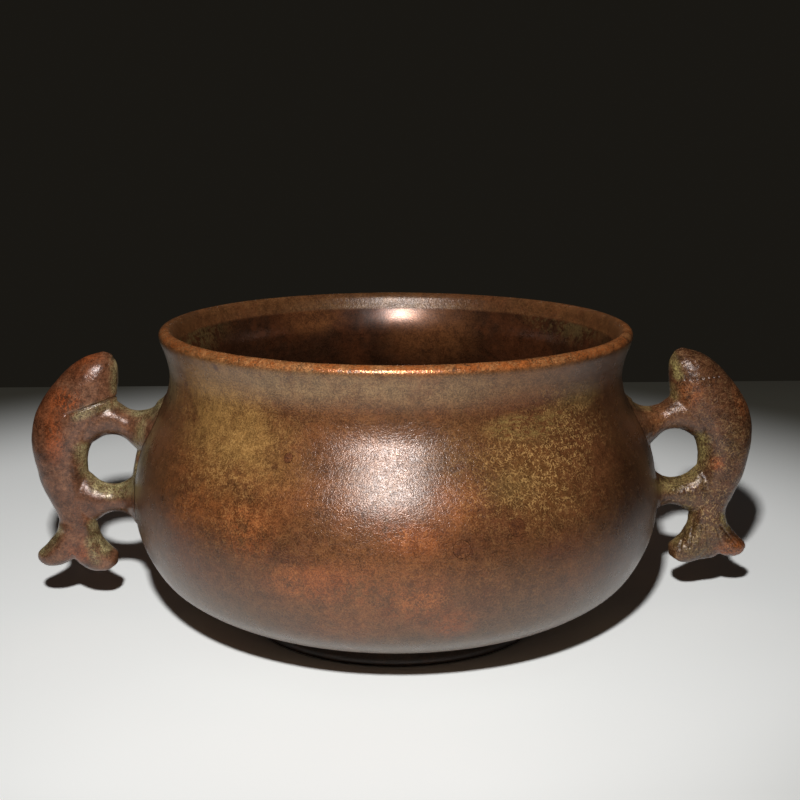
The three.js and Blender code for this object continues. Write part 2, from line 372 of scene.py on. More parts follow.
class Nodes:
    """Writes one shader tree, so that a finish reads as a list of steps."""

    def __init__(self, tree: bpy.types.NodeTree) -> None:
        """Starts on an empty tree."""
        self.tree = tree
        tree.nodes.clear()

    def add(self, kind: str, **settings: object) -> bpy.types.Node:
        """Adds a node with its settings.

        Args:
            kind: The node's type without the word ShaderNode.
            **settings: Properties of the node, set by name.

        Returns:
            The node.
        """
        node = self.tree.nodes.new("ShaderNode" + kind)
        for name, value in settings.items():
            setattr(node, name, value)
        return node

    def link(self, source: object, target: bpy.types.NodeSocket) -> None:
        """Joins an output to an input, or writes a plain value into the input."""
        if isinstance(source, bpy.types.NodeSocket):
            self.tree.links.new(source, target)
        elif source is not None:
            target.default_value = source

    def math(self, operation: str, *values: object, clamp: bool = False) -> bpy.types.NodeSocket:
        """Works out one number from others."""
        node = self.add("Math", operation=operation, use_clamp=clamp)
        for value, target in zip(values, node.inputs):
            self.link(value, target)
        return node.outputs[0]

    def vector(self, operation: str, *values: object) -> bpy.types.NodeSocket:
        """Works out one vector from others."""
        node = self.add("VectorMath", operation=operation)
        for value, target in zip(values, node.inputs):
            self.link(value, target)
        return node.outputs["Value" if operation == "LENGTH" else "Vector"]

    def ramp(self, value: object, low: object, high: object) -> bpy.types.NodeSocket:
        """Turns a number into 0 below low and 1 above high, smoothly between them."""
        node = self.add("MapRange", interpolation_type="SMOOTHSTEP")
        for source, target in zip((value, low, high, 0.0, 1.0), node.inputs):
            self.link(source, target)
        return node.outputs[0]

    def blend(self, share: object, first: object, second: object, mode: str = "MIX") -> object:
        """Mixes two colours by a share from 0 to 1."""
        node = self.add("Mix", data_type="RGBA", clamp_factor=True, blend_type=mode)
        for source, target in zip((share, first, second), (node.inputs[i] for i in (0, 6, 7))):
            self.link(source, target)
        return node.outputs[2]

    def noise(self, vector: object, scale: object, output: str = "Fac", **settings: float) -> object:
        """Gives fractal noise between about 0 and 1.

        Args:
            vector: Where the noise is read, in metres.
            scale: Waves per metre.
            output: "Fac" for a number or "Color" for three.
            **settings: detail, roughness, lacunarity or distortion.

        Returns:
            The noise.
        """
        node = self.add("TexNoise", noise_dimensions="3D")
        self.link(vector, node.inputs["Vector"])
        self.link(scale, node.inputs["Scale"])
        for name, value in settings.items():
            node.inputs[name.capitalize()].default_value = value
        return node.outputs[output]

    def group(self, made: bpy.types.NodeTree, **values: object) -> bpy.types.Node:
        """Places a shared group and fills its inputs by name."""
        node = self.add("Group")
        node.node_tree = made
        for name, value in values.items():
            self.link(value, node.inputs[name])
        return node


def new_group(name: str, inputs: dict[str, object], outputs: list[str]) -> tuple[Nodes, dict, dict]:
    """Starts a shared shader group.

    Args:
        name: The group's name.
        inputs: Each input's name and its default, a number or a vector of three.
        outputs: The names of its outputs, which are all numbers.

    Returns:
        The writer, the group's input sockets by name, and its output sockets by name.
    """
    tree = bpy.data.node_groups.new(name, "ShaderNodeTree")
    writer = Nodes(tree)
    for label, default in inputs.items():
        kind = "NodeSocketVector" if isinstance(default, tuple) else "NodeSocketFloat"
        socket = tree.interface.new_socket(label, in_out="INPUT", socket_type=kind)
        socket.default_value = default
    for label in outputs:
        tree.interface.new_socket(label, in_out="OUTPUT", socket_type="NodeSocketFloat")
    entry = tree.nodes.new("NodeGroupInput")
    leave = tree.nodes.new("NodeGroupOutput")
    return (
        writer,
        {label: entry.outputs[label] for label in inputs},
        {label: leave.inputs[label] for label in outputs},
    )


class SharedEffects:
    """The patina effects that more than one finish uses, each built once."""

    ORIGIN: Place = (0.0, 0.0, 0.0)
    ALIKE: Place = (1.0, 1.0, 1.0)
    BEND: Place = (0.0008, 0.0008, 0.0008)

    def __init__(self) -> None:
        """Builds the groups."""
        self.grain = self._worm_grain()
        self.clouds = self._clouds()
        self.tone = self._tone()
        self.patch = self._patch()
        self.spots = self._spots()

    def _bent(self, w: Nodes, vector: object, scale: float, detail: float) -> bpy.types.NodeSocket:
        """Shifts a place a little by noise, so that what is read there curls."""
        warp = w.noise(vector, scale, "Color", detail=detail)
        return w.vector("MULTIPLY_ADD", warp, self.BEND, vector)

    def _worm_grain(self) -> bpy.types.NodeTree:
        """Fine curly relief left by the casting skin, and a mask of its raised strokes."""
        line_sharpness, dust_finer, line_share, dust_share, dust_sunk = 10.0, 2.3, 0.4, 1.3, -0.3
        w, given, out = new_group(
            "worm_grain", {"Vector": self.ORIGIN, "Scale": 1300.0, "Stroke": 0.6}, ["Height", "Strokes"]
        )
        bent = self._bent(w, given["Vector"], 700.0, 1.0)
        broad = w.noise(bent, given["Scale"], detail=1.5, roughness=0.5)
        line = w.math("ABSOLUTE", w.math("SUBTRACT", broad, 0.5))
        line = w.math("SUBTRACT", 1.0, w.math("MULTIPLY", line, line_sharpness), clamp=True)
        dust = w.noise(bent, w.math("MULTIPLY", given["Scale"], dust_finer), detail=2.0, roughness=0.65)
        dust = w.math("MULTIPLY_ADD", dust, dust_share, dust_sunk)
        w.link(w.math("MULTIPLY_ADD", line, line_share, dust), out["Height"])
        broken = w.ramp(w.noise(given["Vector"], 900.0, detail=2.0), 0.4, 0.6)
        thin = w.math("MULTIPLY_ADD", line, 1.7, -0.7)
        w.link(w.math("MULTIPLY", w.ramp(thin, 0.0, given["Stroke"]), broken), out["Strokes"])
        return w.tree

    def _clouds(self) -> bpy.types.NodeTree:
        """Clouds of patina with ragged edges, which may be drawn out along one direction."""
        edge_finer, grain_share, edge_middle = 9.0, 0.12, -0.56
        w, given, out = new_group(
            "patina_clouds",
            {
                "Vector": self.ORIGIN, "Stretch": self.ALIKE, "Scale": 60.0, "Level": 0.5,
                "Softness": 0.1, "Ragged": 0.4, "Grain": 0.5,
            },
            ["Share"],
        )
        drawn = w.vector("MULTIPLY", given["Vector"], given["Stretch"])
        broad = w.noise(drawn, given["Scale"], detail=6.0, roughness=0.62, distortion=0.4)
        fine = w.noise(drawn, w.math("MULTIPLY", given["Scale"], edge_finer), detail=4.0, roughness=0.65)
        fine = w.math("MULTIPLY_ADD", given["Grain"], grain_share, w.math("ADD", fine, edge_middle))
        broken = w.math("MULTIPLY", fine, given["Ragged"])
        low = w.math("SUBTRACT", given["Level"], given["Softness"])
        high = w.math("ADD", given["Level"], given["Softness"])
        w.link(w.ramp(w.math("ADD", broad, broken), low, high), out["Share"])
        return w.tree

    def _tone(self) -> bpy.types.NodeTree:
        """How light the patina is from place to place: mottling, level turning lines and the grain."""
        mottle_scale, line_scale, drawn_level = 330.0, 1400.0, (0.03, 0.03, 1.0)
        w, given, out = new_group(
            "patina_tone", {"Vector": self.ORIGIN, "Grain": 0.5, "Mottling": 0.5, "Lines": 0.2}, ["Tone"]
        )
        mottle = w.noise(given["Vector"], mottle_scale, detail=4.0, roughness=0.6)
        level = w.vector("MULTIPLY", given["Vector"], drawn_level)
        lines = w.noise(level, line_scale, detail=3.0, roughness=0.6)
        tone = w.math("MULTIPLY", w.math("SUBTRACT", mottle, 0.5), given["Mottling"])
        tone = w.math("ADD", tone, w.math("MULTIPLY", w.math("SUBTRACT", lines, 0.5), given["Lines"]))
        w.link(w.math("ADD", given["Grain"], tone), out["Tone"])
        return w.tree

    def _patch(self) -> bpy.types.NodeTree:
        """A soft oval patch round a point: 1 near its middle, 0 past its reach."""
        full_within = 0.15
        w, given, out = new_group(
            "soft_patch", {"Vector": self.ORIGIN, "Middle": self.ORIGIN, "Reach": self.ALIKE}, ["Share"]
        )
        away = w.vector("DIVIDE", w.vector("SUBTRACT", given["Vector"], given["Middle"]), given["Reach"])
        w.link(w.math("SUBTRACT", 1.0, w.ramp(w.vector("LENGTH", away), full_within, 1.0)), out["Share"])
        return w.tree

    def _spots(self) -> bpy.types.NodeTree:
        """Sparse small spots of uneven size."""
        least_size, solid_part = 0.4, 0.6
        w, given, out = new_group(
            "sparse_spots", {"Vector": self.ORIGIN, "Scale": 50.0, "Size": 0.05, "Rare": 0.7}, ["Share"]
        )
        bent = self._bent(w, given["Vector"], 900.0, 2.0)
        cells = w.add("TexVoronoi", voronoi_dimensions="3D")
        w.link(bent, cells.inputs["Vector"])
        w.link(given["Scale"], cells.inputs["Scale"])
        chance = w.add("SeparateColor")
        w.link(cells.outputs["Color"], chance.inputs[0])
        size = w.math("MULTIPLY", given["Size"], w.math("ADD", chance.outputs[1], least_size))
        solid = w.math("MULTIPLY", size, solid_part)
        dot = w.math("SUBTRACT", 1.0, w.ramp(cells.outputs["Distance"], solid, size))
        chosen = w.math("GREATER_THAN", chance.outputs[0], given["Rare"])
        w.link(w.math("MULTIPLY", dot, chosen), out["Share"])
        return w.tree


@dataclass(frozen=True)
class Patch:
    """A place where a patina colour gathers, in millimetres."""

    middle: Place
    reach: Place
    strength: float = 1.0


@dataclass(frozen=True)
class Layer:
    """One colour of the patina and where it lies.

    `everywhere` is its share outside the patches. `attribute` names a painted number that limits it.
    `metal` and `gloss` say how much more metallic and how much smoother the surface is there.
    """

    colour: Colour
    texture: Texture = Texture.CLOUDS
    scale: float = 60.0
    level: float = 0.5
    softness: float = 0.12
    ragged: float = 0.4
    stretch: Place = (1.0, 1.0, 1.0)
    strength: float = 1.0
    everywhere: float = 0.0
    patches: tuple[Patch, ...] = ()
    attribute: str = ""
    metal: float = 0.0
    gloss: float = 0.0


@dataclass(frozen=True)
class Bronze:
    """A patinated bronze finish: a ground colour with patina layers over it, and a fine cast grain.

    `smooth_where` names a painted number that weakens the grain's relief, by `smoothing`. `breath` is how
    much the roughness changes from place to place. `darkest` and `lightest` multiply the patina's colours
    where its tone is at the ends of `tones`.
    """

    name: str
    ground: Colour
    layers: tuple[Layer, ...] = ()
    metallic: float = 0.12
    roughness: float = 0.29
    specular: float = 0.75
    grain_scale: float = 1600.0
    grain_depth: float = 0.05
    grain_contrast: float = 0.78
    mottling: float = 1.1
    lines: float = 0.4
    smooth_where: str = ""
    smoothing: float = 0.8
    breath_scale: float = 240.0
    breath: float = 0.16
    tones: tuple[float, float] = (-0.1, 1.1)
    darkest: Colour = (0.4, 0.33, 0.27)
    lightest: Colour = (1.85, 1.74, 1.58)
    bump: float = 0.7

    def make(self, effects: SharedEffects) -> bpy.types.Material:
        """Builds the material.

        Args:
            effects: The shared patina groups.

        Returns:
            The finished material.
        """
        material = bpy.data.materials.new(self.name)
        material.use_nodes = True
        w = Nodes(material.node_tree)
        place = w.add("TexCoord").outputs["Object"]
        grain = w.group(effects.grain, Vector=place, Scale=self.grain_scale)
        colour: object = (*self.ground, 1.0)
        metallic: object = self.metallic
        breath = w.noise(place, self.breath_scale, detail=4.0, roughness=0.6)
        roughness = w.math("MULTIPLY_ADD", breath, self.breath, self.roughness - self.breath / 2)
        for layer in self.layers:
            share = self.share(w, effects, layer, place, grain)
            colour = w.blend(share, colour, (*layer.colour, 1.0))
            if layer.metal:
                metallic = w.math("MULTIPLY_ADD", share, layer.metal, metallic)
            if layer.gloss:
                roughness = w.math("MULTIPLY_ADD", share, -layer.gloss, roughness)
        relief = grain.outputs["Height"]
        tone = w.group(effects.tone, Vector=place, Grain=relief, Mottling=self.mottling, Lines=self.lines)
        light = w.ramp(tone.outputs["Tone"], *self.tones)
        shade = w.blend(light, (*self.darkest, 1.0), (*self.lightest, 1.0))
        colour = w.blend(self.grain_contrast, colour, shade, "MULTIPLY")
        shader = w.add("BsdfPrincipled")
        w.link(colour, shader.inputs["Base Color"])
        w.link(metallic, shader.inputs["Metallic"])
        w.link(roughness, shader.inputs["Roughness"])
        shader.inputs["Specular IOR Level"].default_value = self.specular
        bump = w.add("Bump")
        bump.inputs["Strength"].default_value = self.bump
        bump.inputs["Distance"].default_value = self.grain_depth * MM
        if self.smooth_where:
            painted = w.add("Attribute", attribute_name=self.smooth_where).outputs["Fac"]
            relief = w.math("MULTIPLY", relief, w.math("MULTIPLY_ADD", painted, -self.smoothing, 1.0))
        w.link(relief, bump.inputs["Height"])
        w.link(bump.outputs[0], shader.inputs["Normal"])
        output = w.add("OutputMaterial")
        w.link(shader.outputs[0], output.inputs["Surface"])
        return material

    @staticmethod
    def share(
        w: Nodes, effects: SharedEffects, layer: Layer, place: object, grain: bpy.types.Node
    ) -> bpy.types.NodeSocket:
        """Works out how much of a layer shows at each point.

        Args:
            w: The writer of the finish.
            effects: The shared patina groups.
            layer: The layer.
            place: The point on the surface.
            grain: The finish's own grain.

        Returns:
            The share, from 0 to 1.
        """
        here: object = layer.everywhere
        for patch in layer.patches:
            middle, reach = (tuple(v * MM for v in part) for part in (patch.middle, patch.reach))
            made = w.group(effects.patch, Vector=place, Middle=middle, Reach=reach)
            here = w.math("MULTIPLY_ADD", made.outputs["Share"], patch.strength, here, clamp=True)
        if layer.texture is Texture.SPOTS:
            texture = w.group(
                effects.spots, Vector=place, Scale=layer.scale, Size=layer.softness, Rare=layer.level
            )
        else:
            texture = w.group(
                effects.clouds, Vector=place, Stretch=layer.stretch, Scale=layer.scale, Level=layer.level,
                Softness=layer.softness, Ragged=layer.ragged, Grain=grain.outputs["Height"],
            )
        share = w.math("MULTIPLY", w.math("MULTIPLY", here, layer.strength), texture.outputs["Share"])
        if layer.texture is Texture.STROKES:
            share = w.math("MULTIPLY", share, grain.outputs["Strokes"])
        if layer.attribute:
            painted = w.add("Attribute", attribute_name=layer.attribute).outputs["Fac"]
            share = w.math("MULTIPLY", share, painted)
        return share


BOWL_LAYERS = (
    Layer((0.1, 0.044, 0.019), scale=30, softness=0.14, everywhere=0.7),
    Layer((0.15, 0.053, 0.022), scale=42, level=0.54, everywhere=0.6),
    # Greyer band round the lower belly: painted reflection of the pale table.
    Layer((0.15, 0.098, 0.056), scale=28, level=0.36, softness=0.2, strength=0.9, patches=(
        Patch((0, 0, 8), (900, 900, 24)),
    )),
    Layer((0.29, 0.1, 0.031), scale=50, level=0.43, softness=0.18, ragged=0.5, patches=(
        Patch((-46, -46, 46), (22, 24, 17)), Patch((-30, -56, 48), (18, 18, 10), 0.7),
        Patch((-4, -66, 36), (26, 16, 10), 0.5), Patch((-12, -62, 22), (24, 14, 10), 0.5),
        # The next two patches, on either side of the belly's highlight, widen its glow: painted highlight,
        # the one at x 11 over real copper-red patina.
        Patch((11, -64, 47.5), (11, 12, 9), 0.9), Patch((-16, -62, 48), (9, 12, 9), 0.6),
        Patch((30, 56, 34), (34, 22, 16), 0.8),
    )),
    Layer((0.36, 0.2, 0.065), scale=50, level=0.4, softness=0.18, ragged=0.5, strength=0.95, patches=(
        Patch((-44, -38, 65), (26, 28, 15)), Patch((-37, -49, 56), (23, 22, 13), 0.9),
        Patch((-10, 62, 56), (44, 24, 18), 0.8),
    )),
    Layer((0.19, 0.072, 0.026), level=0.46, softness=0.14, ragged=0.5, patches=(
        Patch((-20, -54, 61), (18, 20, 11), 0.9), Patch((-6, -60, 58), (16, 20, 10), 0.5),
    )),
    Layer((0.25, 0.158, 0.08), scale=50, level=0.4, softness=0.2, ragged=0.5, patches=(
        Patch((-25, -53, 72), (32, 22, 6.5)), Patch((4, -58, 71.5), (30, 16, 6), 0.8),
        Patch((34, -48, 71), (24, 22, 6.5), 0.25), Patch((0, 58, 72), (50, 20, 6), 0.6),
    )),
    Layer((0.048, 0.018, 0.007), scale=36, level=0.36, softness=0.2, patches=(
        Patch((60, -28, 48), (24, 30, 40)), Patch((52, -36, 70), (24, 26, 13)),
        Patch((50, -42, 34), (22, 22, 22), 0.6), Patch((-64, -14, 30), (12, 24, 30), 0.6),
    )),
    Layer((0.3, 0.24, 0.12), scale=140, level=0.45, ragged=0.9, strength=0.85, patches=(
        Patch((-63.5, -14, 44), (7, 12, 24)), Patch((-56, -15, 68), (9, 14, 12)),
    )),
    Layer(
        (0.28, 0.088, 0.028), scale=80, level=0.44, softness=0.14, ragged=0.7, strength=0.95,
        everywhere=0.04,
        patches=(
            Patch((-35, -57, 39.5), (11, 14, 8)), Patch((-22, -63, 30.5), (13, 12, 6.5), 0.8),
            Patch((-14, -65.5, 31), (14, 12, 7), 0.8), Patch((1.8, -66.7, 41), (12, 12, 5), 0.9),
            Patch((0, -67, 27), (12, 14, 8)), Patch((9, -64, 20.8), (9, 14, 6), 0.95),
            Patch((-6, -66, 45), (14, 12, 6), 0.4), Patch((24, 60, 34), (22, 18, 12), 0.8),
            Patch((-34, 56, 26), (18, 18, 10), 0.7),
        ),
    ),
    Layer((0.42, 0.15, 0.05), scale=230, level=0.54, softness=0.08, ragged=0.9, strength=0.85, patches=(
        Patch((-35, -57, 42), (9, 14, 6), 0.9), Patch((-24, -62, 31), (9, 14, 5), 0.7),
        Patch((0.8, -66.5, 41.5), (9, 14, 3.5)), Patch((3, -66, 28), (9, 16, 4), 0.8),
        Patch((24, 60, 34), (20, 18, 10), 0.8),
    )),
    Layer((0.12, 0.042, 0.02), scale=120, level=0.42, ragged=0.6, patches=(
        Patch((12.6, -65.9, 38.4), (5.5, 8, 5), 0.9), Patch((34, -58, 36), (14, 12, 5), 0.7),
        Patch((-26, -61, 36.5), (9, 10, 4), 0.8), Patch((41, -46, 67.5), (18, 16, 1.8), 0.9),
        Patch((28, -52, 65.8), (14, 14, 1.6), 0.7),
    )),
    Layer((0.19, 0.09, 0.028), scale=70, level=0.44, softness=0.16, ragged=0.6, patches=(
        Patch((26, -54, 51), (22, 22, 15), 0.55), Patch((14, -60, 58), (18, 18, 10), 0.5),
    )),
    Layer(
        (0.46, 0.275, 0.105), texture=Texture.STROKES, scale=70, level=0.42, softness=0.14,
        everywhere=0.1,
        patches=(
            Patch((27, -54, 51), (24, 24, 16), 0.85), Patch((36, -46, 60), (22, 22, 12), 0.8),
            Patch((-40, -48, 54), (26, 24, 24), 0.4), Patch((0, 62, 52), (30, 20, 18), 0.6),
        ),
    ),
    Layer(
        (0.27, 0.18, 0.062), scale=110, level=0.44, ragged=0.7, stretch=(0.5, 0.5, 1.5), strength=0.85,
        patches=(
            Patch((29, -50, 61.8), (14, 16, 5)), Patch((23, -54, 62), (9, 12, 3.5), 0.8),
            Patch((41, -42, 66), (12, 16, 5), 0.5), Patch((22, -56, 50), (10, 12, 6), 0.4),
        ),
    ),
    Layer((0.075, 0.022, 0.012), Texture.SPOTS, scale=75, level=0.85, softness=0.07, everywhere=0.6),
    Layer((0.5, 0.4, 0.3), Texture.SPOTS, scale=110, level=0.93, softness=0.04, everywhere=0.7),
    Layer(
        (0.1, 0.034, 0.014), scale=45, level=0.2, softness=0.1, everywhere=1.0, attribute="inside",
        metal=0.2, gloss=0.03,
    ),
    Layer((0.042, 0.019, 0.01), scale=42, softness=0.1, everywhere=0.85, attribute="inside"),
    Layer((0.26, 0.1, 0.035), level=0.42, softness=0.15, strength=0.85, attribute="inside", patches=(
        Patch((-22, 50, 71), (14, 14, 7)), Patch((14, 54, 66), (22, 14, 16), 0.8),
    )),
    Layer(
        (0.17, 0.12, 0.05), scale=100, level=0.48, softness=0.08, ragged=1.0, strength=0.85,
        attribute="inside",
        patches=(
            Patch((-54, 10, 72), (18, 34, 10)), Patch((46, 22, 73), (22, 30, 8), 0.8),
            Patch((0, 56, 78), (60, 20, 5), 0.6),
        ),
    ),
    # Bare copper on the lip's crest: real wear, made brighter towards the front where the lamp falls, so
    # partly a painted highlight.
    Layer(
        (0.5, 0.155, 0.042), scale=150, level=0.46, ragged=1.2, everywhere=1.0, attribute="worn",
        metal=0.25, gloss=0.05,
    ),
    Layer(
        (0.8, 0.36, 0.14), scale=260, level=0.56, softness=0.1, ragged=1.0, everywhere=0.9,
        attribute="worn", metal=0.35, gloss=0.06,
    ),
)
BOWL_FINISH = Bronze(
    name="bowl_bronze", ground=(0.155, 0.066, 0.025), smooth_where="inside", layers=BOWL_LAYERS,
)

SMOOTH_FISH_LAYERS = (
    Layer((0.1, 0.043, 0.024), scale=110, softness=0.08, ragged=1.0, everywhere=0.75),
    Layer((0.085, 0.034, 0.018), scale=180, level=0.46, ragged=1.0, patches=(
        Patch((-73, 0, 64), (7, 12, 9), 0.8), Patch((-89, 0, 38), (5, 12, 14), 0.6),
    )),
    Layer((0.18, 0.056, 0.022), scale=90, level=0.4, softness=0.16, ragged=0.8, patches=(
        Patch((-88, 0, 54), (8, 12, 20)), Patch((-80, 0, 67), (10, 12, 7)),
        Patch((-82, 0, 24), (12, 12, 12), 0.5),
    )),
    Layer(
        (0.42, 0.105, 0.03), scale=200, level=0.46, ragged=1.0, stretch=(1.0, 1.0, 0.5), strength=0.85,
        everywhere=0.05,
        patches=(
            Patch((-83.5, -4, 58), (6, 8, 5)), Patch((-87, -4, 49), (3.5, 8, 9), 0.75),
            Patch((-80, -2, 69.5), (8, 6, 3), 0.7), Patch((-82, -4, 17), (7, 6, 4), 0.5),
        ),
    ),
    Layer(
        (0.25, 0.21, 0.095), scale=300, level=0.46, softness=0.1, ragged=1.4, everywhere=1.0,
        attribute="crease",
    ),
    Layer(
        (0.46, 0.41, 0.23), scale=420, level=0.52, softness=0.1, ragged=1.5, everywhere=1.0,
        attribute="crease",
    ),
    # Dark along the engraved lines: painted shade in the grooves.
    Layer((0.05, 0.03, 0.018), scale=300, level=0.3, softness=0.2, everywhere=0.6, attribute="engraved"),
    Layer((0.3, 0.15, 0.08), scale=220, level=0.45, softness=0.2, everywhere=0.4, attribute="rubbed"),
)
SMOOTH_FISH_FINISH = Bronze(
    name="smooth_fish_bronze", ground=(0.215, 0.104, 0.06), grain_scale=1500.0, grain_depth=0.04,
    grain_contrast=1.0, mottling=1.6, roughness=0.28, lines=0.0, layers=SMOOTH_FISH_LAYERS,
)

ROUGH_FISH_LAYERS = (
    Layer((0.075, 0.034, 0.018), scale=80, softness=0.14, everywhere=0.7),
    Layer((0.2, 0.08, 0.03), scale=90, level=0.4, softness=0.16, patches=(
        Patch((68, 0, 51), (8, 12, 6)), Patch((76, 0, 58), (7, 12, 8), 0.7),
    )),
    Layer(
        (0.42, 0.12, 0.03), scale=200, level=0.44, softness=0.14, ragged=0.9, strength=0.9,
        everywhere=0.04,
        patches=(
            Patch((90, -3, 15), (7, 8, 5)), Patch((90, -3, 58), (4, 8, 9), 0.5),
            Patch((83.5, -6, 40), (3, 5, 3), 0.9), Patch((76, -5, 59), (4, 5, 5), 0.5),
        ),
    ),
    Layer(
        (0.36, 0.245, 0.12), texture=Texture.STROKES, scale=130, level=0.4, softness=0.16,
        everywhere=0.25,
        patches=(Patch((80, 0, 28), (16, 16, 20), 0.85), Patch((87, 0, 46), (7, 14, 12), 0.4)),
    ),
    Layer((0.2, 0.15, 0.058), scale=300, level=0.48, softness=0.1, ragged=1.2, strength=0.7, patches=(
        Patch((79, -3, 19), (10, 12, 10), 0.75), Patch((78, -3, 34), (9, 12, 8), 0.6),
        Patch((88, -3, 46), (6, 12, 9), 0.4),
    )),
    Layer(
        (0.25, 0.192, 0.085), scale=260, level=0.44, softness=0.16, ragged=1.2, everywhere=1.0,
        attribute="crease",
    ),
    Layer(
        (0.42, 0.36, 0.14), scale=420, level=0.56, softness=0.1, ragged=1.4, everywhere=0.8,
        attribute="crease",
    ),
    # Dark along the engraved lines: painted shade in the grooves.
    Layer((0.05, 0.03, 0.018), scale=300, level=0.3, softness=0.2, everywhere=0.7, attribute="engraved"),
    Layer((0.3, 0.16, 0.08), scale=220, level=0.45, softness=0.2, everywhere=0.4, attribute="rubbed"),
)
ROUGH_FISH_FINISH = Bronze(
    name="rough_fish_bronze", ground=(0.125, 0.055, 0.027), grain_scale=1200.0, grain_depth=0.08,
    grain_contrast=1.0, mottling=1.5, roughness=0.3, lines=0.0, layers=ROUGH_FISH_LAYERS,
)

# The foot ring and the base plate share this finish, far darker than the bowl's bronze: painted shade, as
# the foot stands in the burner's own shadow.
FOOT_SHADE_LAYERS = (
    Layer((0.03, 0.019, 0.013), scale=40, softness=0.14, everywhere=0.8),
    Layer((0.1, 0.05, 0.025), scale=110, level=0.56, softness=0.08, ragged=0.8, everywhere=0.4),
)
FOOT_SHADE_FINISH = Bronze(
    name="foot_bronze", ground=(0.05, 0.03, 0.02), roughness=0.46, layers=FOOT_SHADE_LAYERS,
)

PIN_LAYERS = (
    Layer((0.09, 0.034, 0.016), scale=500, ragged=1.0, everywhere=0.9),
    Layer((0.24, 0.095, 0.035), scale=700, level=0.55, softness=0.1, ragged=1.0, everywhere=0.7),
)
PIN_FINISH = Bronze(
    name="pin_copper", ground=(0.15, 0.054, 0.022), layers=PIN_LAYERS,
)


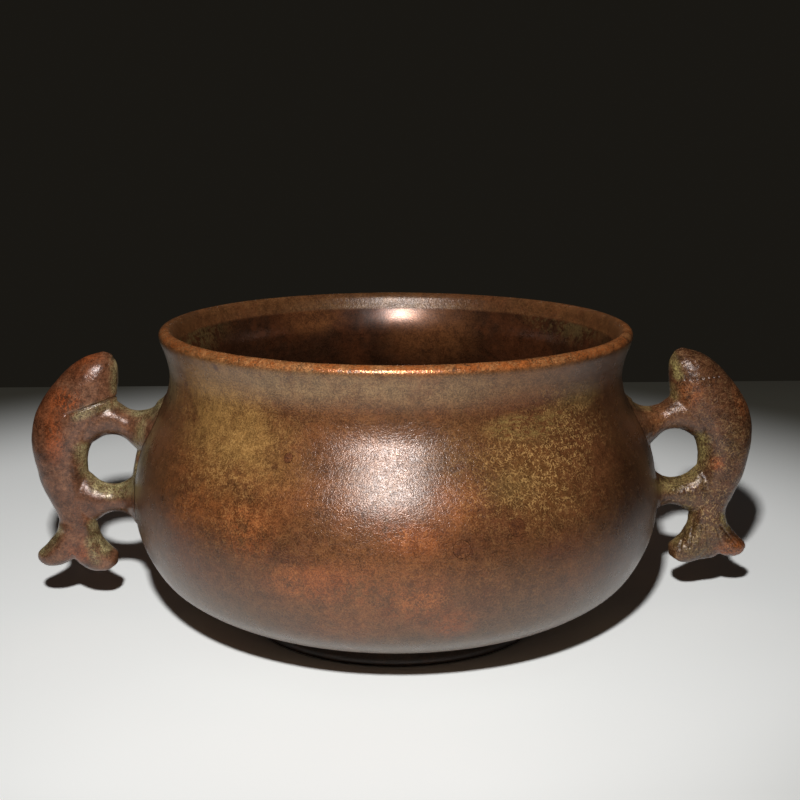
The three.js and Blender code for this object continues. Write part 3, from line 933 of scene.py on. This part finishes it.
@dataclass
class Bowl:
    """The turned bowl: a bulging belly, a pinched neck and a rounded lip.

    Each relief is a hollow's width and depth. `UNTOUCHED` is the height of a relief, from 0 to 1, that
    stays where it is, so that nearly all of it is pressed inwards.
    """

    UNTOUCHED = 0.92

    effects: SharedEffects
    height: float = 77.0
    mouth_radius: float = 60.0
    wall: float = 3.4
    floor_z: float = 8.9
    foot_z: float = 5.5
    opening_radius: float = 29.8
    tongue: tuple[float, float, float] = (35.2, 38.6, 0.8)
    rabbet: tuple[float, float] = (33.6, 1.6)
    steps: int = 320
    waviness: tuple[float, float] = (16.0, 0.2)
    lip_wear: tuple[float, float] = (3.5, 0.2)
    wavy_from: tuple[float, float] = (9.0, 14.0)
    crest_half_width: tuple[float, float] = (0.9, 1.9)
    corner_high: float = 1.6
    inner_top: float = 70.5
    outer: Rows = (
        (41.5, 5.5), (49.4, 7.9), (56.6, 11.4), (61.3, 15.2), (64.7, 20.6), (67, 27), (67.6, 33.5),
        (66.9, 40), (64.9, 47), (61.5, 54), (58.6, 60), (57.6, 65.5), (58.3, 70),
    )
    lip: Rows = (
        (59.0, 72.2), (59.5, 73.5), (59.85, 74.5), (59.95, 75.5), (59.65, 76.3), (58.9, 76.85),
        (57.9, 77), (57.0, 76.65), (56.35, 75.8), (55.95, 74.5), (55.6, 72.8),
    )

    def outer_curve(self, count: int = 90) -> list[tuple[float, float]]:
        """The outer wall from the foot up to the neck."""
        return smooth_curve(self.outer, count)

    def inner_curve(self, count: int = 90) -> list[tuple[float, float]]:
        """The inner wall from the floor up, the wall's thickness inside the outer one."""
        curve = np.array(self.outer_curve(count))
        along = np.gradient(curve, axis=0)
        along /= np.linalg.norm(along, axis=1)[:, None]
        inner = np.stack([curve[:, 0] - along[:, 1] * self.wall, curve[:, 1] + along[:, 0] * self.wall], 1)
        lowest = self.floor_z + self.corner_high
        return [tuple(p) for p in inner if lowest < p[1] < self.inner_top]

    def profile(self) -> list[tuple[float, float]]:
        """The whole section of the bowl, closed on itself."""
        inner = self.inner_curve(30)
        near, flat = inner[0][0] - 4, inner[0][0] - 9
        corner = [(near, self.floor_z + 0.35), (flat, self.floor_z), (flat - 4, self.floor_z)]
        wall = smooth_curve([*self.outer, *self.lip, *reversed(inner), *corner], 230)
        tongue_in, tongue_out, tongue_high = self.tongue
        rabbet_radius, rabbet_high = self.rabbet
        under = self.foot_z
        return [
            *wall,
            (self.opening_radius, self.floor_z), (self.opening_radius, under + rabbet_high),
            (rabbet_radius, under + rabbet_high), (rabbet_radius, under),
            (tongue_in, under), (tongue_in, under + tongue_high),
            (tongue_out, under + tongue_high), (tongue_out, under), wall[0],
        ]

    def build(self) -> bpy.types.Object:
        """Turns the bowl and wears it a little.

        Returns:
            The bowl without its bores and its finish.
        """
        piece = Bench.turn_profile("bowl_casting", self.profile(), self.steps)
        points = Bench.points(piece)
        above_foot = smoothstep(points[:, 2], *self.wavy_from) * Bench.FULL_WEIGHT
        self.uneven(piece, "wall_waviness", *self.waviness, above_foot)
        self.uneven(piece, "lip_wear", *self.lip_wear, self.wear_and_highlight_share(points))
        return piece

    @staticmethod
    def uneven(piece: bpy.types.Object, name: str, size: float, depth: float, weights: np.ndarray) -> None:
        """Presses soft hollows into a piece.

        Args:
            piece: The piece to change.
            name: The relief's name.
            size: How wide a hollow is.
            depth: How deep the deepest is.
            weights: Where it acts, from 0 to 1.
        """
        texture = bpy.data.textures.new(name, "CLOUDS")
        texture.noise_scale = size * MM
        Bench.weigh(piece, name, weights)
        settings = {"texture": texture, "strength": depth * MM, "mid_level": Bowl.UNTOUCHED}
        Bench.modify(piece, "DISPLACE", vertex_group=name, **settings)

    def dress(self, piece: bpy.types.Object) -> None:
        """Gives the bored bowl its finish and hands it over."""
        Bench.mend(piece)
        Bench.soften(piece)
        points = Bench.points(piece)
        Bench.paint(piece, "inside", self.inside_share(points))
        Bench.paint(piece, "worn", self.wear_and_highlight_share(points))
        Bench.coat(piece, BOWL_FINISH.make(self.effects))
        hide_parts("bowl")
        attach(piece, "root")

    def radius_at(self, height: float | np.ndarray) -> float | np.ndarray:
        """The outer wall's radius at a height."""
        curve = np.array([*self.outer_curve(), *self.lip])
        return np.interp(height, curve[:, 1], curve[:, 0])

    def inside_share(self, points: np.ndarray) -> np.ndarray:
        """1 on the inner wall and the floor, 0 outside."""
        radius = np.hypot(points[:, 0], points[:, 1])
        inner = smoothstep(self.radius_at(points[:, 2]) - self.wall / 2 - radius, -0.9, 0.9)
        return np.where(points[:, 2] < self.foot_z + 2.5, 0, inner)

    def wear_and_highlight_share(self, points: np.ndarray) -> np.ndarray:
        """1 on the crest of the lip, where the patina has rubbed away, strongest at the front where the
        lamp falls: partly real wear, partly a painted highlight.
        """
        radius = np.hypot(points[:, 0], points[:, 1])
        crest = np.hypot(radius - (self.mouth_radius - 1.1), points[:, 2] - self.height + 0.5)
        # Stronger at the front: painted highlight laid over the wear.
        front = 0.1 + 0.9 * smoothstep(-points[:, 1], -8, 24)
        return (1 - smoothstep(crest, *self.crest_half_width)) * front


@dataclass
class Foot:
    """The foot ring and the plate let into the bottom."""

    effects: SharedEffects
    steps: int = 240
    ring: Rows = (
        (35.45, 4.9), (35.6, 2.0), (35.9, 0.8), (36.5, 0.15), (37.4, 0.0), (38.6, 0.0), (39.4, 0.2),
        (39.95, 0.9), (39.8, 1.9), (39.1, 2.9), (38.65, 3.8), (38.5, 4.8), (38.45, 5.45),
    )
    tongue: tuple[tuple[float, float], ...] = ((38.4, 5.5), (38.4, 6.25), (35.42, 6.25), (35.42, 5.4))
    plate: Rows = (
        (0.0, 5.52), (20.0, 5.55), (32.8, 5.5), (33.25, 5.65), (33.35, 6.0), (33.35, 7.0), (29.75, 7.08),
        (29.75, 8.75), (29.6, 8.88), (15.0, 8.88), (0.0, 8.86),
    )

    def build(self) -> list[bpy.types.Object]:
        """Turns both pieces and dresses them.

        Returns:
            The foot ring and the base plate.
        """
        finish = FOOT_SHADE_FINISH.make(self.effects)
        section = [*((r, max(z, 0.0)) for r, z in smooth_curve(self.ring, 60)), *self.tongue]
        pieces = []
        for name, profile, node in (
            ("foot_ring_casting", [*section, section[0]], "foot_ring"),
            ("base_plate_disc", self.plate, "base_plate"),
        ):
            piece = Bench.turn_profile(name, profile, self.steps)
            Bench.soften(piece)
            Bench.coat(piece, finish)
            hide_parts(node)
            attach(piece, "root")
            pieces.append(piece)
        return pieces


@dataclass(frozen=True)
class Cut:
    """A line engraved or stained on both faces of a fish, through points in x and z.

    `depth` is how strong it is, from 0 to 1.
    """

    points: tuple[tuple[float, float], ...]
    half_width: float = 0.5
    depth: float = 1.0


@dataclass
class FishHandle:
    """A fish cast head up, held to the bowl by an arm at its throat and one above its tail.

    Both are drawn at the right, and the left one is swung round. `tail_fill` is only in the right one's
    tail. Each skin is a hollow's width and depth.
    """

    effects: SharedEffects
    side: Side
    bowl: Bowl
    sides: int = 28
    voxel: float = 0.25
    fusing: int = 14
    cut_depth: float = 0.42
    cast_skin: tuple[float, float] = (5.0, 0.3)
    pitted_skin: tuple[float, float] = (1.1, 0.32)
    hollow_rounds: int = 120
    crease_share: float = 0.8
    crease_depth: tuple[float, float] = (0.2, 0.7)
    ridge_height: tuple[float, float] = (0.3, 0.9)
    wall_gap: float = 0.02
    bore_past_rivet: float = 0.3
    body: Rows = (
        (72.24, 68.93, 74.84, 70.04, 1.43), (71.17, 66.51, 79.08, 68.93, 3.98),
        (71.13, 63.08, 83.26, 66.31, 5.41), (71.49, 59.24, 87.47, 62.07, 6.02),
        (71.96, 55.40, 90.84, 57.73, 6.33), (73.95, 51.44, 93.00, 53.47, 6.43),
        (77.45, 47.68, 93.95, 48.90, 6.43), (79.54, 43.61, 94.00, 44.32, 6.33),
        (79.92, 39.53, 93.19, 39.53, 6.02), (79.50, 34.83, 92.08, 34.83, 5.61),
        (78.77, 30.22, 90.14, 30.53, 5.21), (78.34, 26.11, 88.35, 26.01, 4.90),
        (78.39, 23.34, 88.56, 23.13, 4.80), (78.96, 20.04, 88.93, 20.04, 4.59),
        (81.26, 16.54, 88.19, 16.54, 3.67),
    )
    outer_lobe: Rows = (
        (80.29, 25.09, 88.43, 24.88, 4.69), (80.98, 20.97, 89.09, 22.41, 4.69),
        (82.27, 17.26, 90.44, 20.66, 4.59), (84.97, 14.48, 92.42, 18.40, 4.29),
        (88.06, 12.93, 94.19, 16.75, 3.57), (91.12, 12.62, 94.43, 15.09, 2.14),
    )
    inner_lobe: Rows = (
        (78.36, 25.09, 86.39, 25.09, 4.69), (77.80, 22.00, 86.47, 20.97, 4.69),
        (76.62, 19.74, 86.15, 16.75, 4.59), (74.9, 17.9, 83.0, 12.9, 4.29), (73.1, 16.0, 79.9, 11.3, 3.8),
        (73.5, 13.2, 76.9, 11.3, 2.6),
    )
    upper_arm: Rows = (
        (57.58, 42.59, 57.58, 60.86, 13.2), (60.63, 43.00, 60.63, 57.32, 12.3),
        (63.07, 43.30, 63.07, 55.09, 9.9), (66.10, 43.71, 66.10, 54.48, 6.2),
        (67.91, 45.24, 67.91, 54.69, 4.9), (69.61, 46.97, 69.61, 55.40, 4.29),
        (71.31, 47.88, 71.31, 56.71, 4.39), (73.31, 48.19, 73.31, 57.73, 4.59),
        (75.74, 47.68, 75.74, 57.73, 4.90), (78.30, 46.05, 78.30, 56.21, 5.10),
        (80.85, 45.03, 80.85, 54.18, 5.10),
    )
    lower_arm: Rows = (
        (64.94, 22.93, 64.94, 40.96, 14.2), (67.18, 24.57, 67.18, 39.32, 10.9),
        (68.29, 25.60, 68.29, 37.89, 7.7), (69.92, 26.73, 69.92, 36.16, 5.3),
        (72.67, 27.55, 72.67, 35.03, 4.39), (75.51, 27.04, 75.51, 35.24, 4.49),
        (77.75, 25.50, 77.75, 36.36, 4.59), (79.97, 24.98, 79.97, 38.40, 4.69),
        (82.20, 25.19, 82.20, 38.40, 4.69),
    )
    cuts: dict[Side, tuple[Cut, ...]] = field(default_factory=lambda: {
        Side.LEFT: (
            Cut(((70.0, 58.4), (73.1, 58.1), (76.7, 57.1), (80.8, 55.8), (83.8, 54.8))),
            Cut(((70.0, 68.9), (71.6, 68.4)), 0.9), Cut(((72.9, 67.2), (73.1, 67.1)), 0.6, 0.7),
            Cut(((79.6, 24), (77.6, 19.5)), 0.8, 0.35), Cut(((86.6, 23), (90.6, 19)), 0.8, 0.3),
        ),
        Side.RIGHT: (
            Cut(((74.2, 62.3), (74.25, 62.35)), 0.5, 0.8), Cut(((75.6, 62.5), (75.65, 62.5)), 0.5, 0.8),
            Cut(((77.0, 62.7), (77.05, 62.7)), 0.5, 0.8), Cut(((78.5, 62.8), (78.55, 62.8)), 0.5, 0.8),
            Cut(((80.0, 62.95), (80.05, 62.95)), 0.5, 0.8), Cut(((81.5, 63.0), (81.55, 63.0)), 0.5, 0.8),
            Cut(((83.0, 63.05), (83.05, 63.05)), 0.5, 0.8), Cut(((72.8, 67.8), (73.3, 67.7)), 0.8, 0.9),
            Cut(((77.0, 25.2), (76.3, 22.4), (74.4, 19.8)), 0.7),
            Cut(((78.9, 24), (77.9, 16.5)), 0.35, 0.6), Cut(((80.4, 23), (80.6, 15.2)), 0.35, 0.6),
            Cut(((81.9, 22.5), (83.2, 15.8)), 0.35, 0.6), Cut(((84.6, 22.5), (87.0, 16.0)), 0.35, 0.6),
            Cut(((86.0, 22.8), (91.0, 17.0)), 0.35, 0.6), Cut(((77.6, 22.0), (75.6, 16.6)), 0.35, 0.6),
        ),
    })
    tail_fill: Rows = (
        (77.0, 18.0, 88.5, 18.0, 4.0), (75.4, 15.5, 88.0, 15.2, 3.6), (73.6, 13.4, 86.6, 12.9, 2.9),
        (75.5, 11.9, 84.5, 12.2, 1.6),
    )
    web: Rows = (
        (57.5, 57, 61.5, 57, 5.6), (60, 52, 64, 52, 5.3), (62, 47, 66.3, 47, 4.9),
        (63.5, 42, 67.8, 42, 4.7), (64.3, 37, 68.7, 37, 4.9), (64.6, 32, 68.9, 32, 5.3),
        (64, 27, 68.3, 27, 5.3), (63.5, 24, 66.9, 24, 4.1),
    )
    stains: dict[Side, tuple[Cut, ...]] = field(default_factory=lambda: {
        Side.LEFT: (
            Cut(((67.6, 40), (68.2, 36.5), (70.5, 34.6), (74.0, 34.2), (77.0, 35.8)), 3.2),
            Cut(((77.0, 35.8), (79.5, 39.0), (80.3, 42.0), (80.6, 45.5)), 2.6, 0.85),
            Cut(((60.5, 57.5), (62.5, 55.6), (66.0, 54.8), (69.6, 56.6)), 2.6, 0.9),
            Cut(((64.6, 52.5), (65.6, 48.5), (67.0, 44.5)), 2.2, 0.6),
            Cut(((71.4, 60.5), (71.2, 64.5), (71.0, 68.5)), 2.2, 0.8),
            Cut(((70.0, 57.4), (75.5, 56.4), (81.0, 54.6)), 2.2, 0.55),
            Cut(((78.6, 24.5), (77.8, 21), (76.2, 18)), 2.8, 0.95),
            Cut(((79.5, 20.5), (78.5, 15.5)), 2.4, 0.6),
            Cut(((93.0, 17.8), (90.0, 20.6), (88.0, 23.6)), 2.4, 0.8),
        ),
        Side.RIGHT: (
            Cut(((71.4, 68.6), (71.9, 66.5), (72.9, 63.0)), 1.7),
            Cut(((71.5, 60.0), (72.5, 57.5)), 1.6, 0.6),
            Cut(((79.6, 46.3), (80.2, 42.5), (79.3, 39.0), (77.4, 36.6)), 3.0, 0.9),
            Cut(((77.4, 36.6), (73.0, 33.6), (69.0, 34.0)), 2.4, 0.75),
            Cut(((77.2, 26.4), (76.6, 22.6), (74.2, 18.6)), 2.6),
            Cut(((60.5, 57.5), (62.5, 55.6), (66.0, 54.6)), 1.6, 0.4),
            Cut(((86.5, 25.0), (88.4, 21.5)), 1.6, 0.8),
        ),
    })

    def build(self) -> bpy.types.Object:
        """Lofts the fish, fuses it into one casting, engraves it and dresses it.

        Returns:
            The finished handle.
        """
        label = self.side.name.lower()
        lofts = [
            (self.body, 44), (self.outer_lobe, 16), (self.inner_lobe, 16),
            (self.upper_arm, 26), (self.lower_arm, 22), (self.web, 20),
        ]
        if self.side is Side.RIGHT:
            lofts.append((self.tail_fill, 8))
        blanks = [
            Bench.loft(f"blank_{i}", smooth_curve(rows, count), self.sides)
            for i, (rows, count) in enumerate(lofts)
        ]
        piece = Bench.join(blanks, f"fish_{label}")
        Bench.modify(piece, "REMESH", mode="VOXEL", voxel_size=self.voxel * MM, use_smooth_shade=True)
        Bench.modify(piece, "SMOOTH", factor=0.5, iterations=self.fusing)
        engraved = self.near(Bench.points(piece), self.cuts[self.side])
        Bench.weigh(piece, "cut_depth", engraved)
        depth = -self.cut_depth * MM
        Bench.modify(piece, "DISPLACE", strength=depth, mid_level=0, vertex_group="cut_depth")
        Bowl.uneven(piece, "cast_skin", *self.cast_skin, np.full(len(engraved), Bench.FULL_WEIGHT))
        if self.side is Side.RIGHT:
            Bowl.uneven(piece, "pitted_skin", *self.pitted_skin, self.pitted_share(Bench.points(piece)))
        hollow = Bench.hollowness(piece, self.hollow_rounds)
        stained = self.near(Bench.points(piece), self.stains[self.side])
        creased = self.crease_share * smoothstep(hollow, *self.crease_depth)
        Bench.paint(piece, "crease", np.maximum(creased, stained))
        Bench.paint(piece, "rubbed", smoothstep(-hollow, *self.ridge_height))
        # The engraved lines are also painted dark: painted shade in the grooves.
        Bench.paint(piece, "engraved", engraved)
        self.fit_to_wall(piece)
        if self.side is Side.LEFT:
            Bench.swing(piece, 180)
        Bench.mend(piece)
        Bench.soften(piece, 60)
        finish = SMOOTH_FISH_FINISH if self.side is Side.LEFT else ROUGH_FISH_FINISH
        Bench.coat(piece, finish.make(self.effects))
        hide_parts(f"fish_handle_{label}")
        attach(piece, "root")
        return piece

    @staticmethod
    def near(points: np.ndarray, lines: tuple[Cut, ...]) -> np.ndarray:
        """Measures how near each point lies to a set of lines.

        Args:
            points: The points in millimetres, one row each.
            lines: The lines in the plane of the handle.

        Returns:
            A number from 0 to 1 for each point, highest on the lines.
        """
        share = np.zeros(len(points))
        flat = points[:, [0, 2]]
        for line in lines:
            for start, end in zip(line.points, line.points[1:]):
                a, b = np.array(start), np.array(end)
                along = np.clip(((flat - a) @ (b - a)) / ((b - a) @ (b - a)), 0, 1)[:, None]
                away = np.linalg.norm(flat - a - along * (b - a), axis=1)
                share = np.maximum(share, line.depth * (1 - smoothstep(away, 0, line.half_width)))
        return share

    def pitted_share(self, points: np.ndarray) -> np.ndarray:
        """Where the casting skin is rough: the lower half and the inner side of the right fish."""
        x, z = points[:, 0], points[:, 2]
        low = 1 - smoothstep(z, 26, 40)
        return Bench.FULL_WEIGHT * np.clip(np.maximum(low, 0.6 * (1 - smoothstep(x, 80, 88))), 0.15, 1)

    def fit_to_wall(self, piece: bpy.types.Object) -> None:
        """Cuts the arms off at the bowl's outer face and bores them for the rivets."""
        curve = self.bowl.outer_curve(60)
        side = [(r + self.wall_gap, z) for r, z in curve]
        profile = [(0, self.bowl.foot_z), *side, (0, side[-1][1])]
        Bench.carve(piece, Bench.turn_profile("wall_tool", profile, self.bowl.steps))
        for z in (Pins.upper_z, Pins.lower_z):
            end = self.bowl.radius_at(z) + Pins.reach + self.bore_past_rivet
            Bench.carve(piece, Bench.bar("bore_tool", Pins.bore_radius, 50, end, z))


@dataclass
class Pins:
    """The rivets of the handles and the plugs of the core-pin holes."""

    effects: SharedEffects
    bowl: Bowl
    upper_z: float = 51.4
    lower_z: float = 31.0
    reach: float = 5.0
    shank_radius: float = 2.0
    bore_radius: float = 2.15
    head_radius: float = 4.2
    plug_groove: float = 0.08
    through_wall: tuple[float, float] = (45.0, 75.0)
    head_half_depth: float = 3.5
    head_sunk: float = 1.6
    seat_past_wall: float = 1.2
    head_gap: float = 0.06
    plugs: tuple[tuple[str, float, float, float], ...] = (
        ("core_plug_left", -25.1, 56.0, 1.0),
        ("core_plug_middle", 9.7, 38.6, 1.9),
        ("core_plug_right", 20.7, 42.0, 1.9),
    )

    def build(self, casting: bpy.types.Object) -> list[bpy.types.Object]:
        """Makes the rivets and plugs, and bores the bowl for them.

        Args:
            casting: The bowl, not yet bored.

        Returns:
            The rivets and plugs.
        """
        finish = PIN_FINISH.make(self.effects)
        pieces = []
        for name, degrees, z, radius in self.plugs:
            plug = Bench.bar(name + "_disc", radius, *self.through_wall, z)
            Bench.swing(plug, degrees - 90)
            Bench.carve(plug, Bench.copy(casting, "casting_tool"), "INTERSECT")
            pieces.append((plug, name))
        for name, degrees, z, radius in self.plugs:
            bore = Bench.bar("bore_tool", radius + self.plug_groove, *self.through_wall, z)
            Bench.swing(bore, degrees - 90)
            Bench.carve(casting, bore)
        for level, z in (("upper", self.upper_z), ("lower", self.lower_z)):
            for degrees in (0, 180):
                bore = Bench.bar("bore_tool", self.bore_radius, *self.through_wall, z)
                Bench.swing(bore, degrees)
                Bench.carve(casting, bore)
            rivet = self.rivet(f"{level}_rivet_right_pin", z)
            twin = Bench.copy(rivet, f"{level}_rivet_left_pin")
            Bench.swing(twin, 180)
            pieces += [(rivet, f"{level}_rivet_right"), (twin, f"{level}_rivet_left")]
        for piece, node in pieces:
            Bench.mend(piece)
            Bench.soften(piece)
            Bench.coat(piece, finish)
            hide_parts(node)
            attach(piece, "root")
        return [piece for piece, _ in pieces]

    def rivet(self, name: str, z: float) -> bpy.types.Object:
        """Makes one rivet: a domed head that lies on the inner wall, and a shank into the arm."""
        wall_x = float(self.bowl.radius_at(z))
        seat_x = wall_x - self.bowl.wall - self.seat_past_wall
        Bench.clear()
        bpy.ops.mesh.primitive_uv_sphere_add(segments=64, ring_count=32, radius=MM, location=(0, 0, 0))
        head = bpy.context.object
        Bench.name(head, name)
        Bench.edit(head)
        size = (self.head_half_depth, self.head_radius, self.head_radius)
        bpy.ops.transform.resize(value=size, center_override=(0, 0, 0))
        bpy.ops.transform.translate(value=((seat_x + self.head_sunk) * MM, 0, z * MM))
        Bench.clear()
        side = [(r - self.head_gap, height) for r, height in self.bowl.inner_curve(60)]
        profile = [(0, side[0][1]), *side, (0, side[-1][1])]
        Bench.carve(head, Bench.turn_profile("hollow_tool", profile, self.bowl.steps), "INTERSECT")
        Bench.carve(head, Bench.bar("shank", self.shank_radius, seat_x, wall_x + self.reach, z), "UNION")
        return head


@dataclass
class Studio:
    """The pale table, the lamps and the camera at the photograph's place.

    The rows of `fills` are a lamp's name, place and power in watts.
    """

    camera_away: float = 320.0
    camera_up: float = 127.1
    camera_turn: float = 2.379
    pitch: float = 12.426
    lens: float = 56.81
    shift: float = 0.00524
    table_back: float = 293.0
    table_size: tuple[float, float] = (4000.0, 1600.0)
    key_place: Place = (-32.0, -318.0, 240.0)
    key_aim: Place = (0.0, 90.0, 20.0)
    key_size: float = 16.0
    key_power: float = 0.97
    fill_aim: Place = (0.0, 0.0, 40.0)
    fill_size: float = 260.0
    fills: tuple[tuple[str, Place, float], ...] = (
        ("rear_lamp", (0.0, 420.0, 230.0), 0.9), ("top_lamp", (0.0, 60.0, 520.0), 0.3),
    )

    def build(self, burner: list[bpy.types.Object]) -> None:
        """Sets up the table, the lamps, the world and the camera.

        Args:
            burner: The burner's pieces, which the lamps behind and above them light.
        """
        self.table()
        self.lamp("key_lamp", self.key_place, self.key_aim, self.key_size, self.key_power)
        for name, place, power in self.fills:
            fill = self.lamp(name, place, self.fill_aim, self.fill_size, power)
            fill.visible_camera = fill.visible_glossy = False
            self.light_only(fill, burner)
        self.world()
        self.camera()
        bpy.context.scene.view_settings.view_transform = "Standard"

    def table(self) -> None:
        """A pale table top, whose far edge lies well behind the burner.

        To the camera and in reflections its colour is lifted up to five times white, more so further back,
        and
        dimmed past a circle round the burner: a painted pool of light. Other light meets a middle grey, so
        that it throws little light back into the shadows.
        """
        Bench.clear()
        bpy.ops.mesh.primitive_plane_add(size=1.0, location=(0, 0, 0))
        top = bpy.context.object
        Bench.name(top, "table_top")
        Bench.edit(top)
        width, depth = (length * MM for length in self.table_size)
        bpy.ops.transform.resize(value=(width, depth, 1.0), center_override=(0, 0, 0))
        bpy.ops.transform.translate(value=(0, self.table_back * MM - depth / 2, 0))
        Bench.clear()
        material = bpy.data.materials.new("pale_table")
        material.use_nodes = True
        w = Nodes(material.node_tree)
        place = w.add("TexCoord").outputs["Object"]
        parts = w.add("SeparateXYZ")
        w.link(place, parts.inputs[0])
        haze = w.math("MULTIPLY_ADD", w.noise(place, 5.0, detail=3.0), 0.06, -0.03)
        # Painted pool of light: what the camera and reflections see is lifted more further back, and
        # dimmed to a beige past a circle round the burner.
        painted_lift_further_back = w.math("MULTIPLY_ADD", w.math("MAXIMUM", parts.outputs["Y"], -0.1), 1.5, 0.41)
        painted_light_pool = w.blend(w.math("ADD", painted_lift_further_back, haze), (0.0, 0.0, 0.0, 1), (5.0, 5.05, 4.95, 1))
        away = w.vector("LENGTH", w.vector("SUBTRACT", place, (-0.02, 0.045, 0.0)))
        painted_light_pool = w.blend(w.ramp(away, 0.14, 0.28), painted_light_pool, (0.3, 0.28, 0.22, 1))
        path = w.add("LightPath")
        seen = w.math("MAXIMUM", path.outputs["Is Camera Ray"], path.outputs["Is Glossy Ray"])
        seen = w.math("MULTIPLY", seen, w.math("LESS_THAN", path.outputs["Diffuse Depth"], 0.5))
        colour = w.blend(seen, w.blend(haze, (0.36, 0.362, 0.36, 1), (0.39, 0.39, 0.385, 1)), painted_light_pool)
        shader = w.add("BsdfPrincipled")
        w.link(colour, shader.inputs["Base Color"])
        shader.inputs["Roughness"].default_value = 0.7
        output = w.add("OutputMaterial")
        w.link(shader.outputs[0], output.inputs["Surface"])
        top.data.materials.append(material)

    def lamp(self, name: str, place: Place, aim: Place, size: float, power: float) -> bpy.types.Object:
        """Hangs a soft square lamp.

        Args:
            name: The lamp's name.
            place: Where it hangs.
            aim: The point it looks at.
            size: Its side.
            power: Its power in watts.

        Returns:
            The lamp.
        """
        Bench.clear()
        bpy.ops.object.light_add(type="AREA", location=tuple(v * MM for v in place))
        made = bpy.context.object
        made.name = name
        made.data.size = size * MM
        made.data.energy = power
        away = Vector(place) - Vector(aim)
        made.rotation_mode = "QUATERNION"
        made.rotation_quaternion = away.to_track_quat("Z", "Y")
        return made

    @staticmethod
    def light_only(lamp: bpy.types.Object, lit: list[bpy.types.Object]) -> None:
        """Lets a lamp light only some pieces, so that it doesn't wash out the shadows on the table."""
        group = bpy.data.collections.new("lit_by_" + lamp.name)
        for piece in lit:
            group.objects.link(piece)
        lamp.light_linking.receiver_collection = group

    def world(self) -> None:
        """A dark plain room that gives the shadows a little light."""
        world = bpy.data.worlds.new("dark_room")
        bpy.context.scene.world = world
        world.use_nodes = True
        w = Nodes(world.node_tree)
        path = w.add("LightPath")
        seen = w.math("MAXIMUM", path.outputs["Is Camera Ray"], path.outputs["Is Glossy Ray"])
        seen = w.math("MAXIMUM", seen, path.outputs["Is Transmission Ray"])
        back = w.add("Background")
        w.link(w.blend(seen, (0.004, 0.004, 0.004, 1), (0.0098, 0.0087, 0.0067, 1)), back.inputs["Color"])
        output = w.add("OutputWorld")
        w.link(back.outputs[0], output.inputs["Surface"])

    def camera(self) -> None:
        """The camera, above the rim and a little round towards the left handle."""
        turn, pitch = math.radians(self.camera_turn), math.radians(self.pitch)
        away = self.camera_away * MM
        Bench.clear()
        place = (-away * math.sin(turn), -away * math.cos(turn), self.camera_up * MM)
        bpy.ops.object.camera_add(location=place)
        made = bpy.context.object
        made.name = "camera"
        level = math.cos(pitch)
        ahead = Vector((math.sin(turn) * level, math.cos(turn) * level, -math.sin(pitch)))
        made.rotation_mode = "QUATERNION"
        made.rotation_quaternion = ahead.to_track_quat("-Z", "Y")
        made.data.sensor_width = 36
        made.data.lens = self.lens
        made.data.shift_x = self.shift
        made.data.clip_start = 0.01
        bpy.context.scene.camera = made


def main() -> None:
    """Builds the burner piece by piece, then the studio."""
    logging.basicConfig(level=logging.INFO, format="%(name)s: %(message)s")
    effects = SharedEffects()
    bowl = Bowl(effects)
    casting = bowl.build()
    made = [casting, *Pins(effects, bowl).build(casting)]
    bowl.dress(casting)
    made += Foot(effects).build()
    made += [FishHandle(effects, side, bowl).build() for side in Side]
    for piece in made:
        log.info("%s: %d faces", piece.name, len(piece.data.polygons))
    Studio().build(made)


if __name__ == "__main__":
    main()
